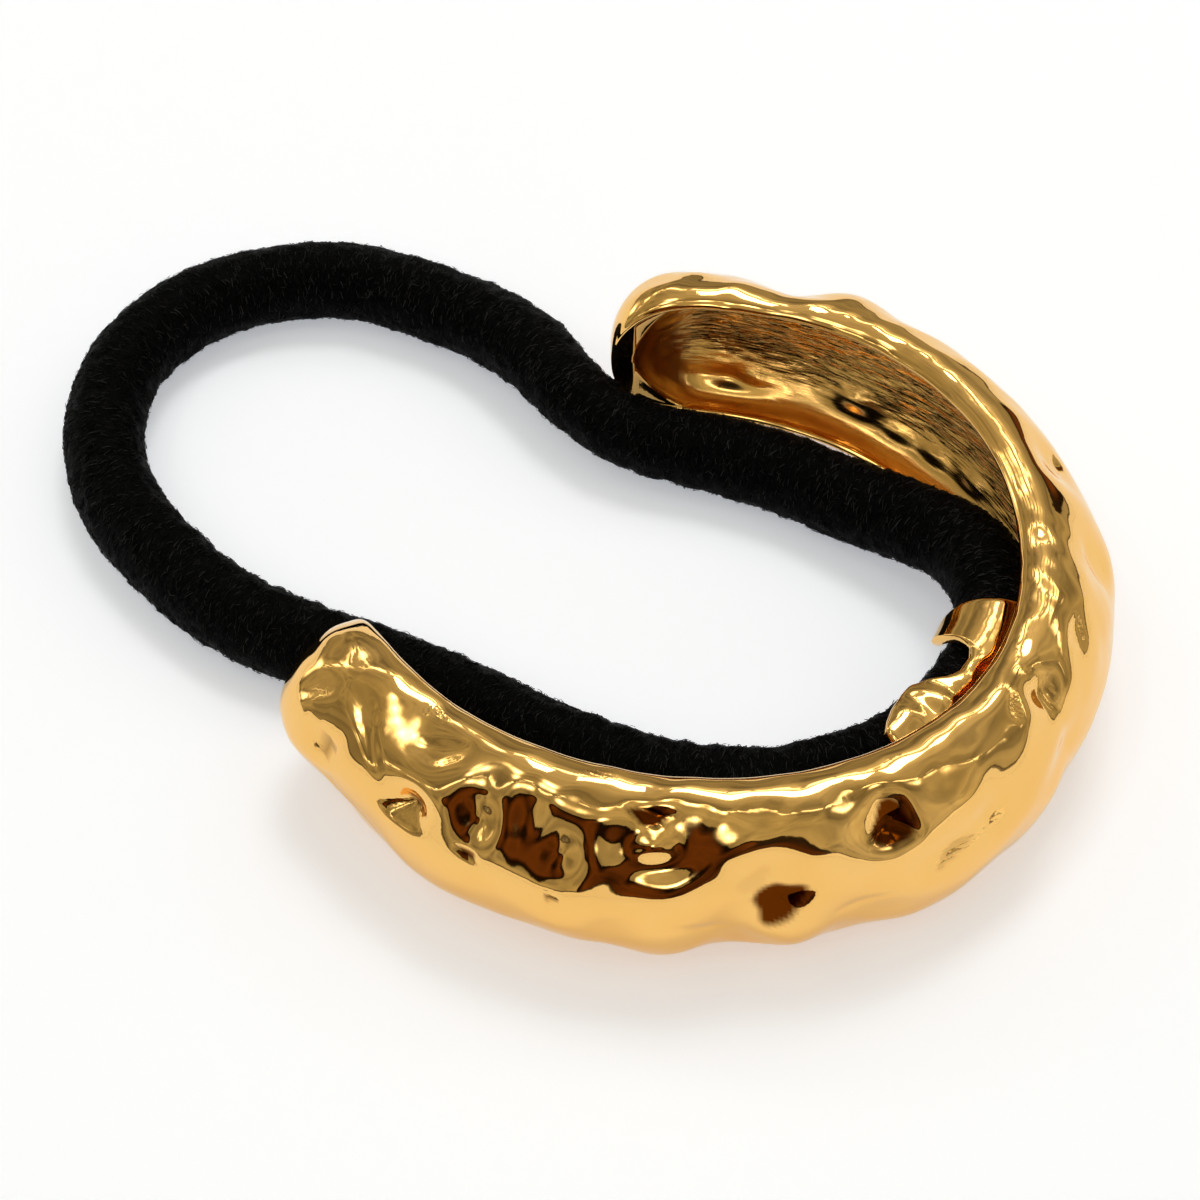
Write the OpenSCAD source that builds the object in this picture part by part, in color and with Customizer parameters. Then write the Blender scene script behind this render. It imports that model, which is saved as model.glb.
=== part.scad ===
// Ponytail cuff: a cast shell bent into an open hoop, hollow behind, with a keeper strap
// folded over a covered elastic ring. It lies on its edge. Millimetres, +Z up.
// Origin: on the floor, under the middle of the shell's box. Near side -X, front middle -Y,
// opening and elastic loop +Y.

/* [Shell] */
// Width of the hoop at its mouth line, side to side
hoop_w = 40; // [34:0.5:48]
// Length of the hoop at its mouth line, front to back
hoop_l = 45.2; // [38:0.4:54]
// Angle from the front middle to the near tip
near_angle = 131; // [118:1:136]
// Angle from the front middle to the far tip
far_angle = 128; // [118:1:136]
// Height of the shell at the front middle
band_h = 12.8; // [11:0.1:16]
// Height of the shell just before the tips
tip_h = 11.5; // [9.5:0.1:14]
// Outward bulge at the front middle
front_bulge = 5.4; // [4.6:0.1:8]
// Outward bulge along the limbs
limb_bulge = 6.5; // [5:0.1:9]
// How far the far limb's mouth bows outward
far_bow = 1.2; // [0:0.1:1.4]
// Thickness of the cast wall
wall_t = 1.2; // [0.9:0.05:1.6]
// Thickness of the wall at its rims
rim_t = 0.9; // [0.8:0.05:1.6]
// Length over which a tip rounds off
tip_round = 6.2; // [5:0.1:8]
// Metal left between the end of the hollow and the near tip
near_solid = 2.4; // [1.8:0.1:3]
// Metal left between the end of the hollow and the far tip
far_solid = 1.6; // [1.4:0.1:3]
// Length over which the end of the hollow rounds off
hollow_round = 5.2; // [4:0.1:7]
// How far the tips turn inward
tip_turn = 0.3; // [0:0.1:1.5]

/* [Relief] */
// Depth of the deepest hollow of the cast relief
relief_d = 1.1; // [0.2:0.05:1.2]
// Share of the relief that shows on the inside of the wall
relief_in = 0.7; // [0.5:0.05:1]

/* [Keeper] */
// Thickness of the folded strap
keeper_t = 0.8; // [0.6:0.05:1.2]
// Play between the elastic and the strap
keeper_gap = 0.25; // [0.15:0.05:0.5]

/* [Elastic] */
// Thickness of the covered elastic
elastic_d = 5.6; // [4.4:0.1:6]
// Thickness of the elastic inside the keeper, as a share of its free thickness
pinch = 0.88; // [0.8:0.01:0.95]
// How far the loop reaches behind the middle of the hoop
loop_l = 45; // [38:0.5:60]

/* [Hidden] */

gold = [0.85, 0.66, 0.32];
black = [0.05, 0.05, 0.055];

half_w = hoop_w / 2;
half_l = hoop_l / 2;
mm_per_deg = PI / 180 * (half_w + half_l) / 2;
elastic_r = elastic_d / 2;

// along the hoop, the shell reaches from its front face to the crown of the near tip
tip_crown = 0.18 * limb_bulge;
front_y = -half_l - front_bulge;
back_y = -half_l * cos(near_angle) + tip_crown;
centre_y = -(front_y + back_y) / 2;

// the mouth line of the hoop and the way outward from it, by angle from the front middle
bow_from = 20;
function bow_at(t) = t < bow_from ? 0 : far_bow * pow(sin(180 * (t - bow_from) / (far_angle - bow_from)), 2);
function mouth(t) = [half_w * sin(t), centre_y - half_l * cos(t)] + outward(t) * bow_at(t);
function outward(t) = let (v = [half_l * sin(t), -half_w * cos(t)]) v / norm(v);
function tip_at(t) = t < 0 ? near_angle : far_angle;
function share(t) = abs(t) / tip_at(t);
function left(t) = (tip_at(t) - abs(t)) * mm_per_deg;

// a value given at the front middle, half way and at the tip
function blend(a, m, e, x) = a * (1 - x) * (1 - 2 * x) + 4 * m * x * (1 - x) + e * x * (2 * x - 1);
function height_at(t) = blend(band_h, band_h, tip_h, share(t)) / 2;
function bulge_at(t) = blend(front_bulge, limb_bulge, limb_bulge, share(t)) - bow_at(t);
function mid_z(t) = band_h / 2;
turn_from = 0.7;
function turn_at(t) = tip_turn * pow(max(0, (share(t) - turn_from) / (1 - turn_from)), 2);

// rounding off towards the tips: 0 at the tip, 1 where the full section begins
blunt = 2.4;
function near_tip(t) = max(0, 1 - left(t) / tip_round);
function closed(t) = pow(max(0, 1 - pow(near_tip(t), blunt)), 1 / blunt);
function solid_at(t) = t < 0 ? near_solid : far_solid;
function close_in(t) = let (q = max(0, 1 - (left(t) - solid_at(t)) / hollow_round))
    sqrt(max(0, 1 - pow(q, 2)));

// the cast relief
// angle along the hoop, angle round the section, reach along and reach round as shares of half
// the band's height, depth as a share of the deepest (a minus sign is a lump)
relief = [
    [-64, -28, 0.38, 0.46, -0.46],
    [-46, -15, 0.30, 0.46, -0.44],
    [-74, -18, 0.38, 0.46, -0.40],
    [-55, -8, 0.32, 0.62, 1.00],
    [-41, -4, 0.38, 0.60, 0.80],
    [-69.5, -8, 0.24, 0.46, 0.42],
    [-100, 66, 0.38, 0.32, 0.60],
    [-98, 27, 0.18, 0.16, 0.65],
    [-112, 24, 0.16, 0.16, 0.35],
    [-88, 39, 0.18, 0.34, 0.65],
    [-82, 43, 0.18, 0.34, 0.60],
    [-77, 36, 0.18, 0.34, 0.55],
    [-65, 44, 0.50, 0.40, 1.00],
    [-65, 47, 0.18, 0.16, -0.45],
    [-49, 27, 0.32, 0.38, 0.85],
    [-34, 48, 0.24, 0.24, 0.60],
    [-26, 18, 0.32, 0.18, 0.45],
    [-18, 24, 0.20, 0.18, 0.40],
    [-1, 51, 0.20, 0.34, 0.50],
    [0, 12, 0.32, 0.20, 0.40],
    [28, 36, 0.28, 0.38, 0.55],
    [46, 51, 0.28, 0.28, 0.55],
    [62, 12, 0.40, 0.34, 0.60],
    [81, 24, 0.28, 0.34, 0.45],
    [91, 45, 0.34, 0.38, -0.50],
    [98, 10, 0.44, 0.40, 0.45],
    [99, 50, 0.40, 0.44, 0.90],
    [-104, -8, 0.46, 0.46, 0.35],
    [-10, -15, 0.46, 0.46, -0.25],
    [112, 46, 0.30, 0.44, 0.25],
    [-121, 12, 0.50, 0.60, -0.35],
    [-92, -20, 0.55, 0.50, -0.44],
    [-26, -27, 0.50, 0.44, -0.35],
    [14, -38, 0.34, 0.40, 0.55],
    [44, -22, 0.38, 0.38, 0.50],
    [84, -30, 0.40, 0.34, 0.55],
    [-113, -24, 0.36, 0.46, 0.55],
    [31, 6, 0.46, 0.40, -0.40],
    [11, -2, 0.36, 0.40, -0.15]];
reach = band_h / 2;
function dent(t, p, r) = r[4] * exp(-pow((t - r[0]) * mm_per_deg / (r[2] * reach), 2)
    - pow((p - r[1]) * PI / 180 * height_at(t) / (r[3] * reach), 2));
function sum(v, i = 0) = i < len(v) ? v[i] + sum(v, i + 1) : 0;
dent_end = 3;
function relief_at(t, p) = -relief_d * closed(t)
    * sum([for (r = relief) if (abs(t - r[0]) * mm_per_deg < dent_end * r[2] * reach) dent(t, p, r)]);

// a point given outward from the mouth line and by height
function place(t, o, z) = let (c = mouth(t) + outward(t) * (o - turn_at(t))) [c[0], c[1], z];

// outside of the wall at one angle: p runs from 90 (upper rim) to -90 (lower rim)
function outer_pt(t, p) = let (b = bulge_at(t) * closed(t), h = height_at(t) * closed(t),
        k = norm([h * cos(p), b * sin(p)]), d = relief_at(t, p))
    place(t, b * cos(p) + d * h * cos(p) / k, mid_z(t) + h * sin(p) + d * b * sin(p) / k);

// rounded lip, as shares of the wall: how far in front of the mouth line and below the rim
lip = [[0.30, 0.12], [0.42, 0.50]];
function lip_pt(t, n, s) = let (h = height_at(t) * closed(t), k = min(wall_t, h / 2))
    place(t, -k * lip[n][0], mid_z(t) + s * (h - k * lip[n][1]));
function centre_pt(t) = let (k = min(wall_t, height_at(t) * closed(t) / 2))
    place(t, -k * lip[1][0], mid_z(t));

// inside of the wall
function inner_h(t) = (height_at(t) * closed(t) - rim_t) * close_in(t);
function inner_b(t) = (bulge_at(t) * closed(t) - wall_t) * close_in(t);
function inner_pt(t, p) = let (b = inner_b(t) + wall_t * lip[0][0], h = inner_h(t),
        k = norm([h * cos(p), b * sin(p)]), d = relief_in * relief_at(t, p) * close_in(t) * cos(p))
    place(t, b * cos(p) - wall_t * lip[0][0] + d * h * cos(p) / k,
        mid_z(t) + h * sin(p) + d * b * sin(p) / k);

// stations along the hoop: close together at the tips, even between them
near_steps = [0.02, 0.085, 0.19, 0.31, 0.40, 0.47, 0.56, 0.69, 0.84];
far_steps = [0.02, 0.085, 0.18, 0.27, 0.34, 0.42, 0.53, 0.67, 0.84];
even_n = 94;
round_deg = tip_round / mm_per_deg;
first_t = round_deg - near_angle;
last_t = far_angle - round_deg;
stations = concat(
    [for (s = near_steps) s * round_deg - near_angle],
    [for (i = [0:even_n - 1]) first_t + (last_t - first_t) * i / (even_n - 1)],
    [for (i = [len(far_steps) - 1:-1:0]) far_angle - far_steps[i] * round_deg]);
n_st = len(stations);
outer_n = 21;
inner_n = 13;
side_n = outer_n + 4;
least_left = 0.05;
hollow = [for (t = stations) left(t) > solid_at(t) + least_left];
first_hollow = len([for (i = [0:n_st - 1]) if (stations[i] < 0 && !hollow[i]) 1]);
hollow_n = len([for (h = hollow) if (h) 1]);
last_hollow = first_hollow + hollow_n - 1;

function side_pts(t) = concat(
    [for (j = [0:outer_n - 1]) outer_pt(t, 90 - 180 * j / (outer_n - 1))],
    [lip_pt(t, 0, -1), lip_pt(t, 1, -1), lip_pt(t, 1, 1), lip_pt(t, 0, 1)]);
shell_pts = concat(
    [for (t = stations) each side_pts(t)],
    [for (i = [first_hollow:last_hollow], j = [0:inner_n - 1])
        inner_pt(stations[i], -90 + 180 * j / (inner_n - 1))],
    [for (i = [0:n_st - 1]) if (!hollow[i]) centre_pt(stations[i])],
    [place(-near_angle, 0, mid_z(-near_angle)), place(far_angle, 0, mid_z(far_angle))]);

in_base = n_st * side_n;
mid_base = in_base + hollow_n * inner_n;
tip_base = mid_base + n_st - hollow_n;
function a_id(i, j) = i * side_n + j;
function c_id(i, j) = in_base + (i - first_hollow) * inner_n + j;
function m_id(i) = mid_base + (i < first_hollow ? i : i - hollow_n);
function ring(i) = concat([for (j = [0:outer_n + 1]) a_id(i, j)],
    hollow[i] ? [for (j = [0:inner_n - 1]) c_id(i, j)] : [m_id(i)],
    [a_id(i, side_n - 2), a_id(i, side_n - 1)]);
function quad(a, b, c, d) = [[a, b, c], [a, c, d]];
function flip(f) = [for (t = f) [t[2], t[1], t[0]]];
function band(r, s) = [for (j = [0:len(r) - 1]) let (k = (j + 1) % len(r))
    each quad(r[j], r[k], s[k], s[j])];

// where the hollow ends: m is a solid station, h the hollow one beside it
function closing(m, h) = let (e = outer_n + 1, u = side_n - 2, c = inner_n - 1) concat(
    [for (j = [0:outer_n]) each quad(a_id(m, j), a_id(m, j + 1), a_id(h, j + 1), a_id(h, j))],
    quad(a_id(m, u), a_id(m, u + 1), a_id(h, u + 1), a_id(h, u)),
    quad(a_id(m, u + 1), a_id(m, 0), a_id(h, 0), a_id(h, u + 1)),
    quad(a_id(m, e), m_id(m), c_id(h, 0), a_id(h, e)),
    quad(m_id(m), a_id(m, u), a_id(h, u), c_id(h, c)),
    [[m_id(m), c_id(h, c), c_id(h, 0)]],
    [for (j = [1:inner_n - 2]) [c_id(h, 0), c_id(h, c + 1 - j), c_id(h, c - j)]]);
shell_faces = flip(concat(
    [for (i = [0:n_st - 2]) each
        i == first_hollow - 1 ? closing(i, i + 1)
        : i == last_hollow ? flip(closing(i + 1, i))
        : band(ring(i), ring(i + 1))],
    let (r = ring(0)) [for (j = [0:len(r) - 1]) [tip_base, r[(j + 1) % len(r)], r[j]]],
    let (r = ring(n_st - 1)) [for (j = [0:len(r) - 1]) [tip_base + 1, r[j], r[(j + 1) % len(r)]]]));

// the elastic's middle line where the keeper holds it
// angle along the hoop, distance behind the mouth line as a share of the elastic
held = [[-24, -0.59], [-12, -0.52], [0, -0.45], [12, -0.36], [24, -0.25]];
held_z = band_h / 2;
function held_o(t) = elastic_d * lookup(t, held);

// the rest of the elastic's middle line, laid on the floor
// across as a share of half the hoop, along as a share of half the hoop, lift off the floor,
// thickness as a share: it gives a little where it rests against the tips
route_front = [
    [0.46, -0.82, 0.85, 0.94], [0.60, -0.73, 0.70, 1], [0.69, -0.60, 0.50, 1],
    [0.725, -0.44, 0.30, 1], [0.74, -0.28, 0.12, 1], [0.75, -0.13, 0.03, 1],
    [0.745, 0.04, 0, 1], [0.71, 0.21, 0.04, 0.97], [0.655, 0.38, 0.12, 0.92], [0.635, 0.54, 0.24, 0.89]];
// the same, with along as a share of the loop's reach
route_back = [
    [0.695, 0.365, 0.30, 0.93], [0.79, 0.45, 0.20, 1], [0.85, 0.56, 0.06, 1], [0.85, 0.67, 0, 1],
    [0.81, 0.78, 0, 1], [0.70, 0.87, 0, 1], [0.52, 0.945, 0, 1], [0.30, 0.99, 0, 1],
    [0.05, 0.995, 0, 1], [-0.18, 0.96, 0, 1], [-0.37, 0.90, 0, 1], [-0.52, 0.82, 0, 1],
    [-0.62, 0.725, 0, 1], [-0.69, 0.62, 0, 1], [-0.72, 0.52, 0, 1], [-0.70, 0.42, 0, 0.98]];
route_near = [
    [-0.64, 0.66, 0, 0.86], [-0.64, 0.47, 0, 0.92], [-0.655, 0.28, 0.02, 1],
    [-0.665, 0.09, 0.06, 1], [-0.66, -0.11, 0.15, 1], [-0.64, -0.29, 0.27, 1],
    [-0.585, -0.465, 0.42, 1], [-0.49, -0.62, 0.60, 0.95]];
function lifted(r) = elastic_r * r[3] + r[2] * (held_z - elastic_r * r[3]);
route = concat(
    [for (h = held) let (c = mouth(h[0]) + outward(h[0]) * held_o(h[0])) [c[0], c[1], held_z, pinch]],
    [for (r = route_front) [r[0] * half_w, centre_y + r[1] * half_l, lifted(r), r[3]]],
    [for (r = route_back) [r[0] * half_w, centre_y + r[1] * loop_l, lifted(r), r[3]]],
    [for (r = route_near) [r[0] * half_w, centre_y + r[1] * half_l, lifted(r), r[3]]]);
route_n = len(route);
function at(i) = route[(i + route_n) % route_n];
function smooth_pt(i, u) = let (a = at(i - 1), b = at(i), c = at(i + 1), d = at(i + 2))
    0.5 * (2 * b + (c - a) * u + (2 * a - 5 * b + 4 * c - d) * u * u
        + (3 * b - a - 3 * c + d) * u * u * u);
line = [for (i = [0:route_n - 1], u = [0, 0.5]) smooth_pt(i, u)];
line_n = len(line);
function xyz(i) = let (p = line[(i + line_n) % line_n]) [p[0], p[1], p[2]];
cord_sides = 12;
function cord_ring(i) = let (a = xyz(i - 1), b = xyz(i + 1), f = (b - a) / norm(b - a),
        s0 = cross(f, [0, 0, 1]), s = s0 / norm(s0), u = cross(s, f), r = elastic_r * line[i][3])
    [for (k = [0:cord_sides - 1]) let (w = 360 * k / cord_sides)
        xyz(i) + r * (cos(w) * s + sin(w) * u)];
cord_pts = [for (i = [0:line_n - 1]) each cord_ring(i)];
cord_faces = [for (i = [0:line_n - 1]) let (n = (i + 1) % line_n) each
    band([for (k = [0:cord_sides - 1]) i * cord_sides + k],
        [for (k = [0:cord_sides - 1]) n * cord_sides + k])];

// the keeper strap: it leaves the back wall, passes over the elastic and folds down in front
// turn round the elastic: 0 is outward, 90 is up, 180 is inward
wrap_end = [[-23, 80], [-21, 92], [-18, 104], [-13, 116], [-9, 120], [-6, 112], [-3, 97], [0, 90],
    [4, 91], [7, 98], [9, 116], [11, 150], [12.5, 168], [17, 170], [19, 156], [21, 120]];
// where the strap begins: 0 in the wall, 1 at the shoulder
root_start = [[-23, 1.05], [-20, 0.7], [-15, 0], [14, 0], [18, 0.5], [21, 1]];
strap_at = [-23, -22, -20.5, -18.5, -16, -13, -10, -8, -6, -4.5, -3, -1.5, 0, 2, 4, 5.5, 7, 8, 9,
    10, 11, 12.5, 15, 17, 18.5, 20, 21];
strap_r = elastic_r * pinch + keeper_gap + keeper_t / 2;
shoulder = 50;
deg_per_v = 100;
// the root sags from the shoulder to the wall: its drop, and where its bend lies between them
root_drop = 0.46;
root_bend = [0.42, 0.72];
function back_o(t) = bulge_at(t) - wall_t / 2;
function strap_pt(t, v) = v < 1
    ? let (u = [strap_r * cos(shoulder), strap_r * sin(shoulder)],
        w = [back_o(t) - held_o(t), strap_r * (sin(shoulder) - root_drop)],
        k = [u[0] + root_bend[0] * (w[0] - u[0]), u[1] - root_bend[1] * strap_r * root_drop])
        u * v * v + 2 * k * v * (1 - v) + w * (1 - v) * (1 - v)
    : let (a = shoulder + (v - 1) * deg_per_v) [strap_r * cos(a), strap_r * sin(a)];
function strap_v(t, k, n) = let (a = lookup(t, root_start),
        b = 1 + (lookup(t, wrap_end) - shoulder) / deg_per_v) a + (b - a) * k / n;
strap_n = 14;
v_step = 0.01;
function strap_side(t, v, s) = let (p = strap_pt(t, v),
        f = strap_pt(t, v + v_step) - strap_pt(t, v - v_step), n = [f[1], -f[0]] / norm(f),
        q = p + n * s * keeper_t / 2, c = mouth(t) + outward(t) * (held_o(t) + q[0]))
    [c[0], c[1], held_z + q[1]];
function strap_ring(t) = concat(
    [for (k = [0:strap_n]) strap_side(t, strap_v(t, k, strap_n), 1)],
    [for (k = [strap_n:-1:0]) strap_side(t, strap_v(t, k, strap_n), -1)]);
strap_ring_n = 2 * (strap_n + 1);
strap_pts = [for (t = strap_at) each strap_ring(t)];
strap_last = (len(strap_at) - 1) * strap_ring_n;
function strap_cap(b, s) = [for (k = [0:strap_n - 1]) each
    s > 0 ? quad(b + k, b + k + 1, b + strap_ring_n - 2 - k, b + strap_ring_n - 1 - k)
    : flip(quad(b + k, b + k + 1, b + strap_ring_n - 2 - k, b + strap_ring_n - 1 - k))];
strap_faces = concat(
    [for (i = [0:len(strap_at) - 2]) each
        band([for (k = [0:strap_ring_n - 1]) i * strap_ring_n + k],
            [for (k = [0:strap_ring_n - 1]) (i + 1) * strap_ring_n + k])],
    strap_cap(0, -1), strap_cap(strap_last, 1));

module cuff() {
    color(gold)
        union() {
            polyhedron(points = shell_pts, faces = shell_faces, convexity = 8);
            polyhedron(points = strap_pts, faces = strap_faces, convexity = 6);
        }
}

module elastic() {
    color(black)
        polyhedron(points = cord_pts, faces = cord_faces, convexity = 6);
}

cuff();
elastic();
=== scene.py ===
# %% [markdown]
# A ponytail cuff, from the metal out
# This is a hair jewel in two pieces: a gold-plated casting that is bent round a ponytail, and the
# thick black elastic that its keeper holds. The casting looks as if it had been poured and had
# set. It is a mirror, so its looks are its dents and the studio round it.

# %% Load the frame
import math

import bmesh
import bpy
import numpy as np
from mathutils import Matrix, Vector


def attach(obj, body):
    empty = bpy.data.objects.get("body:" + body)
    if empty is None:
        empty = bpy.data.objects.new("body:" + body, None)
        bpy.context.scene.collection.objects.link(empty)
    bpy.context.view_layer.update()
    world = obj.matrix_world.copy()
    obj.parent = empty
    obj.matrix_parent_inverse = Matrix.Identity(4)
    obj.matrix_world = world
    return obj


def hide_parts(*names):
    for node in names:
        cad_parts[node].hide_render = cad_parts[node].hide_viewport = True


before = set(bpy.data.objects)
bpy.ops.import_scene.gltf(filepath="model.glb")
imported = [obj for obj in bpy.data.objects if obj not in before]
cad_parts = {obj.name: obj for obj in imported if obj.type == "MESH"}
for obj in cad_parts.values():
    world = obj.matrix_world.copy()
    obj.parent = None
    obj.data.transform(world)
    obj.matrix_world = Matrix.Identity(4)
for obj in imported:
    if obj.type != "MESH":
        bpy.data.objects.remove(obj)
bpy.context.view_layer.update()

mm = 0.001

# %% [markdown]
# The camera comes first, because all the rest is judged through it. It stands on a sphere round
# the cuff, and two angles and a distance say where. The long lens keeps the hoop's far side
# nearly as large as its near side, as in a product photograph.

# %% Camera
def way(azimuth, elevation):
    """The direction from the object towards a camera or light; azimuth 0 stands at -Y."""
    a = math.radians(azimuth)
    e = math.radians(elevation)
    return Vector((math.sin(a) * math.cos(e), -math.cos(a) * math.cos(e), math.sin(e)))


camera_azimuth = -59.4
camera_elevation = 49.3
camera_distance = 182 * mm
looked_at = Vector((-3.56, 9.33, 6.0)) * mm

camera = bpy.data.objects.new("camera", bpy.data.cameras.new("camera"))
bpy.context.scene.collection.objects.link(camera)
camera.data.lens = 85
camera.data.sensor_width = 36
camera.data.clip_start = 1 * mm
camera.data.clip_end = 20
camera.location = looked_at + way(camera_azimuth, camera_elevation) * camera_distance
camera.rotation_mode = "QUATERNION"
camera.rotation_quaternion = (-way(camera_azimuth, camera_elevation)).to_track_quat("-Z", "Y")
bpy.context.scene.camera = camera
bpy.context.scene.view_settings.view_transform = "Standard"
print("camera at, in mm:", [round(c / mm) for c in camera.location])

# %% [markdown]
# The casting is bent round half an ellipse and more. Everything on it is found from two numbers:
# the angle along the hoop, 0 at the front middle and minus towards the near tip, and the angle
# round the section. These are the sizes that the metal was cast to.

# %% Sizes of the casting
half_w = 20 * mm
half_l = 22.6 * mm
near_angle = 131
far_angle = 128
band_h = 12.8 * mm
tip_h = 11.5 * mm
front_bulge = 5.4 * mm
limb_bulge = 6.5 * mm
far_bow = 1.2 * mm
bow_from = 20
wall = 1.2 * mm
rim = 0.9 * mm
tip_round = 6.2 * mm
near_solid = 2.4 * mm
far_solid = 1.6 * mm
hollow_round = 5.2 * mm
tip_turn = 0.3 * mm
turn_from = 0.7
tip_crown = 0.18 * limb_bulge
per_degree = math.radians(1) * (half_w + half_l) / 2
mid_z = band_h / 2
centre_y = (half_l + front_bulge + half_l * math.cos(math.radians(near_angle)) - tip_crown) / 2


def outward(t):
    """The level direction out of the hoop, square to its mouth line."""
    t = np.radians(t)
    v = np.stack([half_l * np.sin(t), -half_w * np.cos(t)], -1)
    return v / np.linalg.norm(v, axis=-1, keepdims=True)


def bow(t):
    """How far the far limb's mouth lies outside the ellipse."""
    return far_bow * np.sin(np.pi * np.clip(t - bow_from, 0, None) / (far_angle - bow_from)) ** 2


def mouth(t):
    """The hoop's inner line, where hair meets metal."""
    a = np.radians(t)
    ellipse = np.stack([half_w * np.sin(a), centre_y - half_l * np.cos(a)], -1)
    return ellipse + outward(t) * bow(t)[..., None]


def place(t, out, z):
    """Points of the casting, from their distance outside the mouth line and their height."""
    out, z = np.broadcast_arrays(out, z)
    flat = mouth(t)[:, None, :] + outward(t)[:, None, :] * out[..., None]
    return np.concatenate([flat, z[..., None]], -1)


# %% [markdown]
# The elastic is a closed ring, so its path is a loop too: under the keeper, out past the far tip,
# round behind and back past the near tip. It sags from the keeper to the table and lies there.
# The points are listed, and a Catmull-Rom spline runs through them.

# %% The elastic's path
elastic_r = 2.8 * mm
loop_l = 45 * mm
pinch = 0.88
held = np.array([[-24, -0.59], [-12, -0.52], [0, -0.45], [12, -0.36], [24, -0.25]])
# across in half widths, along in half lengths, lift off the table, thickness
route_front = [
    [0.46, -0.82, 0.85, 0.94], [0.60, -0.73, 0.70, 1], [0.69, -0.60, 0.50, 1],
    [0.725, -0.44, 0.30, 1], [0.74, -0.28, 0.12, 1], [0.75, -0.13, 0.03, 1],
    [0.745, 0.04, 0, 1], [0.71, 0.21, 0.04, 0.97], [0.655, 0.38, 0.12, 0.92], [0.635, 0.54, 0.24, 0.89]]
# the same, with along in loop lengths
route_back = [
    [0.695, 0.365, 0.30, 0.93], [0.79, 0.45, 0.20, 1], [0.85, 0.56, 0.06, 1], [0.85, 0.67, 0, 1],
    [0.81, 0.78, 0, 1], [0.70, 0.87, 0, 1], [0.52, 0.945, 0, 1], [0.30, 0.99, 0, 1],
    [0.05, 0.995, 0, 1], [-0.18, 0.96, 0, 1], [-0.37, 0.90, 0, 1], [-0.52, 0.82, 0, 1],
    [-0.62, 0.725, 0, 1], [-0.69, 0.62, 0, 1], [-0.72, 0.52, 0, 1], [-0.70, 0.42, 0, 0.98]]
route_near = [
    [-0.64, 0.66, 0, 0.86], [-0.64, 0.47, 0, 0.92], [-0.655, 0.28, 0.02, 1],
    [-0.665, 0.09, 0.06, 1], [-0.66, -0.11, 0.15, 1], [-0.64, -0.29, 0.27, 1],
    [-0.585, -0.465, 0.42, 1], [-0.49, -0.62, 0.60, 0.95]]


def held_out(t):
    """How far outside the mouth line the keeper holds the middle of the elastic."""
    return 2 * elastic_r * np.interp(t, held[:, 0], held[:, 1])


def laid(rows, length):
    """The elastic's points and thickness beyond the keeper, from a table of shares."""
    rows = np.array(rows)
    lowest = elastic_r * rows[:, 3]
    return np.stack([rows[:, 0] * half_w, centre_y + rows[:, 1] * length,
                     lowest + rows[:, 2] * (mid_z - lowest), rows[:, 3]], -1)


def through(points, steps):
    """A closed Catmull-Rom spline through the points, with so many steps between two of them."""
    a, b, c, d = (np.roll(points, 1 - k, 0)[:, None, :] for k in range(4))
    u = (np.arange(steps) / steps)[None, :, None]
    curve = 2 * b + (c - a) * u + (2 * a - 5 * b + 4 * c - d) * u ** 2
    curve = 0.5 * (curve + (3 * b - a - 3 * c + d) * u ** 3)
    return curve.reshape(-1, points.shape[1])


held_t = held[:, 0]
held_xy = mouth(held_t) + outward(held_t) * held_out(held_t)[:, None]
held_rows = np.column_stack([held_xy, np.full(len(held), mid_z), np.full(len(held), pinch)])
route = np.vstack([held_rows, laid(route_front, half_l), laid(route_back, loop_l),
                   laid(route_near, half_l)])
path = through(route, 16)
steps = np.linalg.norm(np.roll(path, -1, 0)[:, :3] - path[:, :3], axis=1)
elastic_length = float(steps.sum())
print("elastic: %d points, %.1f mm round" % (len(path), elastic_length / mm))

# %% [markdown]
# The relief is what makes the metal look molten. Each row of a short table is one dent or, with
# a minus sign, one lump: where it lies, how far it reaches, and how deep it is. The sum of soft
# Gaussian bumps never has an edge, just as a poured surface has none. Sculpting would look the
# same, but a row can be moved by its two angles. A few long waves make the metal between the
# dents uneven.

# %% Relief of the casting
relief_depth = 1.1 * mm
relief_inside = 0.7
reach = band_h / 2
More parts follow.
